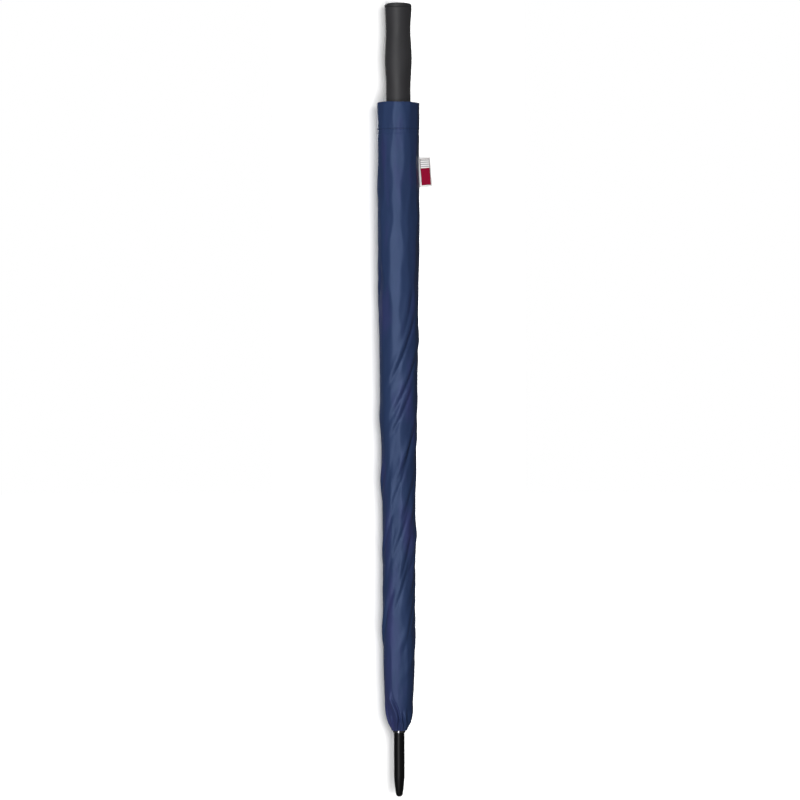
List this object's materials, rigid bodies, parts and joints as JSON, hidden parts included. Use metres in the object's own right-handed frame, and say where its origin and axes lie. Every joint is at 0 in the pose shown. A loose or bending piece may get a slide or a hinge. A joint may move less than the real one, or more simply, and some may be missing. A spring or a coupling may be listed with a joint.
{
  "type": "stick umbrella",
  "caption": "Long stick umbrella, folded in a slip-on fabric sleeve, with a soft straight handle, a slim tip and a full folding rib frame that opens.",
  "frame": {"origin": "on the shaft's axis at the middle of the hand grip", "axes": "+Z along the shaft from the tip towards the handle; +X towards the sleeve's side seam with the label; -Y is the side that faces the viewer"},
  "size_m": [0.071, 0.054, 1],
  "materials": {
    "shaft_steel": "satin",
    "ferrule_plastic": "gloss",
    "bright_metal": "polished",
    "hub_plastic": "satin",
    "grip_rubber": "matte",
    "handle_plastic": "satin",
    "rib_glassfibre": "satin",
    "stretcher_steel": "satin",
    "canopy_cloth": "satin",
    "sleeve_cloth": "satin",
    "label_ribbon": "satin"
  },
  "bodies": {
    "stick": {"shaft": "shaft_steel", "ferrule": "ferrule_plastic", "ferrule_ring": "bright_metal", "crown_cap": "hub_plastic", "crown": "hub_plastic", "crown_wire": "bright_metal", "top_stop": "bright_metal", "handle_core": "handle_plastic", "handle_grip": "grip_rubber", "handle_end_cap": "handle_plastic", "handle_collar": "handle_plastic", "catch_pins": "bright_metal"},
    "runner": {"runner": "hub_plastic", "runner_collar": "hub_plastic"},
    "upper_catch": {"upper_catch": "bright_metal"},
    "lower_catch": {"lower_catch": "bright_metal"},
    "sleeve": {"sleeve": "sleeve_cloth", "sleeve_label": "label_ribbon"},
    "rib_1": {"rib_1": "rib_glassfibre", "rib_tip_1": "hub_plastic", "rib_clip_1": "hub_plastic", "strap": "canopy_cloth", "strap_snap": "bright_metal"},
    "rib_2": {"rib_2": "rib_glassfibre", "rib_tip_2": "hub_plastic", "rib_clip_2": "hub_plastic"},
    "rib_3": {"rib_3": "rib_glassfibre", "rib_tip_3": "hub_plastic", "rib_clip_3": "hub_plastic"},
    "rib_4": {"rib_4": "rib_glassfibre", "rib_tip_4": "hub_plastic", "rib_clip_4": "hub_plastic"},
    "rib_5": {"rib_5": "rib_glassfibre", "rib_tip_5": "hub_plastic", "rib_clip_5": "hub_plastic"},
    "rib_6": {"rib_6": "rib_glassfibre", "rib_tip_6": "hub_plastic", "rib_clip_6": "hub_plastic"},
    "rib_7": {"rib_7": "rib_glassfibre", "rib_tip_7": "hub_plastic", "rib_clip_7": "hub_plastic"},
    "rib_8": {"rib_8": "rib_glassfibre", "rib_tip_8": "hub_plastic", "rib_clip_8": "hub_plastic"},
    "stretcher_1": {"stretcher_1": "stretcher_steel"},
    "stretcher_2": {"stretcher_2": "stretcher_steel"},
    "stretcher_3": {"stretcher_3": "stretcher_steel"},
    "stretcher_4": {"stretcher_4": "stretcher_steel"},
    "stretcher_5": {"stretcher_5": "stretcher_steel"},
    "stretcher_6": {"stretcher_6": "stretcher_steel"},
    "stretcher_7": {"stretcher_7": "stretcher_steel"},
    "stretcher_8": {"stretcher_8": "stretcher_steel"},
    "panel_1": {"canopy_panel_1": "canopy_cloth"},
    "panel_2": {"canopy_panel_2": "canopy_cloth"},
    "panel_3": {"canopy_panel_3": "canopy_cloth"},
    "panel_4": {"canopy_panel_4": "canopy_cloth"},
    "panel_5": {"canopy_panel_5": "canopy_cloth"},
    "panel_6": {"canopy_panel_6": "canopy_cloth"},
    "panel_7": {"canopy_panel_7": "canopy_cloth"},
    "panel_8": {"canopy_panel_8": "canopy_cloth"}
  },
  "joints": [
    {"name": "runner_slide", "type": "slide", "parent": "stick", "child": "runner", "axis": [0, 0, -1], "range_m": [0, 0.4951], "deforming": ["canopy_panel_1", "canopy_panel_2", "canopy_panel_3", "canopy_panel_4", "canopy_panel_5", "canopy_panel_6", "canopy_panel_7", "canopy_panel_8", "sleeve", "sleeve_label", "strap", "strap_snap"]},
    {"name": "sleeve_slide", "type": "slide", "parent": "stick", "child": "sleeve", "axis": [0, 0, -1], "range_m": [0, 0.88]},
    {"name": "upper_catch_hinge", "type": "hinge", "parent": "stick", "child": "upper_catch", "pos_m": [0.0043, 0, -0.6031], "axis": [0, -1, 0], "range_deg": [0, 7], "stiffness_Nm_per_rad": 0.08},
    {"name": "lower_catch_hinge", "type": "hinge", "parent": "stick", "child": "lower_catch", "pos_m": [0.0043, 0, -0.14], "axis": [0, -1, 0], "range_deg": [0, 7], "stiffness_Nm_per_rad": 0.08},
    {"name": "rib_1_hinge", "type": "hinge", "parent": "stick", "child": "rib_1", "pos_m": [0.00998, 0.00413, -0.823], "axis": [-0.3827, 0.9239, 0], "range_deg": [0, 75.1]},
    {"name": "rib_2_hinge", "type": "hinge", "parent": "stick", "child": "rib_2", "pos_m": [0.00413, 0.00998, -0.823], "axis": [-0.9239, 0.3827, 0], "range_deg": [0, 75.1]},
    {"name": "rib_3_hinge", "type": "hinge", "parent": "stick", "child": "rib_3", "pos_m": [-0.00413, 0.00998, -0.823], "axis": [-0.9239, -0.3827, 0], "range_deg": [0, 75.1]},
    {"name": "rib_4_hinge", "type": "hinge", "parent": "stick", "child": "rib_4", "pos_m": [-0.00998, 0.00413, -0.823], "axis": [-0.3827, -0.9239, 0], "range_deg": [0, 75.1]},
    {"name": "rib_5_hinge", "type": "hinge", "parent": "stick", "child": "rib_5", "pos_m": [-0.00998, -0.00413, -0.823], "axis": [0.3827, -0.9239, 0], "range_deg": [0, 75.1]},
    {"name": "rib_6_hinge", "type": "hinge", "parent": "stick", "child": "rib_6", "pos_m": [-0.00413, -0.00998, -0.823], "axis": [0.9239, -0.3827, 0], "range_deg": [0, 75.1]},
    {"name": "rib_7_hinge", "type": "hinge", "parent": "stick", "child": "rib_7", "pos_m": [0.00413, -0.00998, -0.823], "axis": [0.9239, 0.3827, 0], "range_deg": [0, 75.1]},
    {"name": "rib_8_hinge", "type": "hinge", "parent": "stick", "child": "rib_8", "pos_m": [0.00998, -0.00413, -0.823], "axis": [0.3827, 0.9239, 0], "range_deg": [0, 75.1]},
    {"name": "stretcher_1_hinge", "type": "hinge", "parent": "rib_1", "child": "stretcher_1", "pos_m": [0.00998, 0.00413, -0.489], "axis": [-0.3827, 0.9239, 0], "range_deg": [-150.1, 0]},
    {"name": "stretcher_2_hinge", "type": "hinge", "parent": "rib_2", "child": "stretcher_2", "pos_m": [0.00413, 0.00998, -0.489], "axis": [-0.9239, 0.3827, 0], "range_deg": [-150.1, 0]},
    {"name": "stretcher_3_hinge", "type": "hinge", "parent": "rib_3", "child": "stretcher_3", "pos_m": [-0.00413, 0.00998, -0.489], "axis": [-0.9239, -0.3827, 0], "range_deg": [-150.1, 0]},
    {"name": "stretcher_4_hinge", "type": "hinge", "parent": "rib_4", "child": "stretcher_4", "pos_m": [-0.00998, 0.00413, -0.489], "axis": [-0.3827, -0.9239, 0], "range_deg": [-150.1, 0]},
    {"name": "stretcher_5_hinge", "type": "hinge", "parent": "rib_5", "child": "stretcher_5", "pos_m": [-0.00998, -0.00413, -0.489], "axis": [0.3827, -0.9239, 0], "range_deg": [-150.1, 0]},
    {"name": "stretcher_6_hinge", "type": "hinge", "parent": "rib_6", "child": "stretcher_6", "pos_m": [-0.00413, -0.00998, -0.489], "axis": [0.9239, -0.3827, 0], "range_deg": [-150.1, 0]},
    {"name": "stretcher_7_hinge", "type": "hinge", "parent": "rib_7", "child": "stretcher_7", "pos_m": [0.00413, -0.00998, -0.489], "axis": [0.9239, 0.3827, 0], "range_deg": [-150.1, 0]},
    {"name": "stretcher_8_hinge", "type": "hinge", "parent": "rib_8", "child": "stretcher_8", "pos_m": [0.00998, -0.00413, -0.489], "axis": [0.3827, 0.9239, 0], "range_deg": [-150.1, 0]},
    {"name": "panel_1_hinge", "type": "hinge", "parent": "rib_1", "child": "panel_1", "pos_m": [0.00827, 0.00827, -0.823], "axis": [-0.5769, -0.5769, -0.5783], "range_deg": [0, 53.94]},
    {"name": "panel_2_hinge", "type": "hinge", "parent": "rib_2", "child": "panel_2", "pos_m": [0, 0.01169, -0.823], "axis": [0, -0.8158, -0.5783], "range_deg": [0, 53.94]},
    {"name": "panel_3_hinge", "type": "hinge", "parent": "rib_3", "child": "panel_3", "pos_m": [-0.00827, 0.00827, -0.823], "axis": [0.5769, -0.5769, -0.5783], "range_deg": [0, 53.94]},
    {"name": "panel_4_hinge", "type": "hinge", "parent": "rib_4", "child": "panel_4", "pos_m": [-0.01169, 0, -0.823], "axis": [0.8158, 0, -0.5783], "range_deg": [0, 53.94]},
    {"name": "panel_5_hinge", "type": "hinge", "parent": "rib_5", "child": "panel_5", "pos_m": [-0.00827, -0.00827, -0.823], "axis": [0.5769, 0.5769, -0.5783], "range_deg": [0, 53.94]},
    {"name": "panel_6_hinge", "type": "hinge", "parent": "rib_6", "child": "panel_6", "pos_m": [0, -0.01169, -0.823], "axis": [0, 0.8158, -0.5783], "range_deg": [0, 53.94]},
    {"name": "panel_7_hinge", "type": "hinge", "parent": "rib_7", "child": "panel_7", "pos_m": [0.00827, -0.00827, -0.823], "axis": [-0.5769, 0.5769, -0.5783], "range_deg": [0, 53.94]},
    {"name": "panel_8_hinge", "type": "hinge", "parent": "rib_8", "child": "panel_8", "pos_m": [0.01169, 0, -0.823], "axis": [-0.8158, 0, -0.5783], "range_deg": [0, 53.94]}
  ],
  "couplings": [
    {"joint": "rib_1_hinge", "follows": "runner_slide", "rad_per_m": 2.6439},
    {"joint": "rib_2_hinge", "follows": "runner_slide", "rad_per_m": 2.6439},
    {"joint": "rib_3_hinge", "follows": "runner_slide", "rad_per_m": 2.6439},
    {"joint": "rib_4_hinge", "follows": "runner_slide", "rad_per_m": 2.6439},
    {"joint": "rib_5_hinge", "follows": "runner_slide", "rad_per_m": 2.6439},
    {"joint": "rib_6_hinge", "follows": "runner_slide", "rad_per_m": 2.6439},
    {"joint": "rib_7_hinge", "follows": "runner_slide", "rad_per_m": 2.6439},
    {"joint": "rib_8_hinge", "follows": "runner_slide", "rad_per_m": 2.6439},
    {"joint": "stretcher_1_hinge", "follows": "runner_slide", "rad_per_m": -5.2878},
    {"joint": "stretcher_2_hinge", "follows": "runner_slide", "rad_per_m": -5.2878},
    {"joint": "stretcher_3_hinge", "follows": "runner_slide", "rad_per_m": -5.2878},
    {"joint": "stretcher_4_hinge", "follows": "runner_slide", "rad_per_m": -5.2878},
    {"joint": "stretcher_5_hinge", "follows": "runner_slide", "rad_per_m": -5.2878},
    {"joint": "stretcher_6_hinge", "follows": "runner_slide", "rad_per_m": -5.2878},
    {"joint": "stretcher_7_hinge", "follows": "runner_slide", "rad_per_m": -5.2878},
    {"joint": "stretcher_8_hinge", "follows": "runner_slide", "rad_per_m": -5.2878},
    {"joint": "panel_1_hinge", "follows": "runner_slide", "rad_per_m": 1.8996},
    {"joint": "panel_2_hinge", "follows": "runner_slide", "rad_per_m": 1.8996},
    {"joint": "panel_3_hinge", "follows": "runner_slide", "rad_per_m": 1.8996},
    {"joint": "panel_4_hinge", "follows": "runner_slide", "rad_per_m": 1.8996},
    {"joint": "panel_5_hinge", "follows": "runner_slide", "rad_per_m": 1.8996},
    {"joint": "panel_6_hinge", "follows": "runner_slide", "rad_per_m": 1.8996},
    {"joint": "panel_7_hinge", "follows": "runner_slide", "rad_per_m": 1.8996},
    {"joint": "panel_8_hinge", "follows": "runner_slide", "rad_per_m": 1.8996}
  ]
}
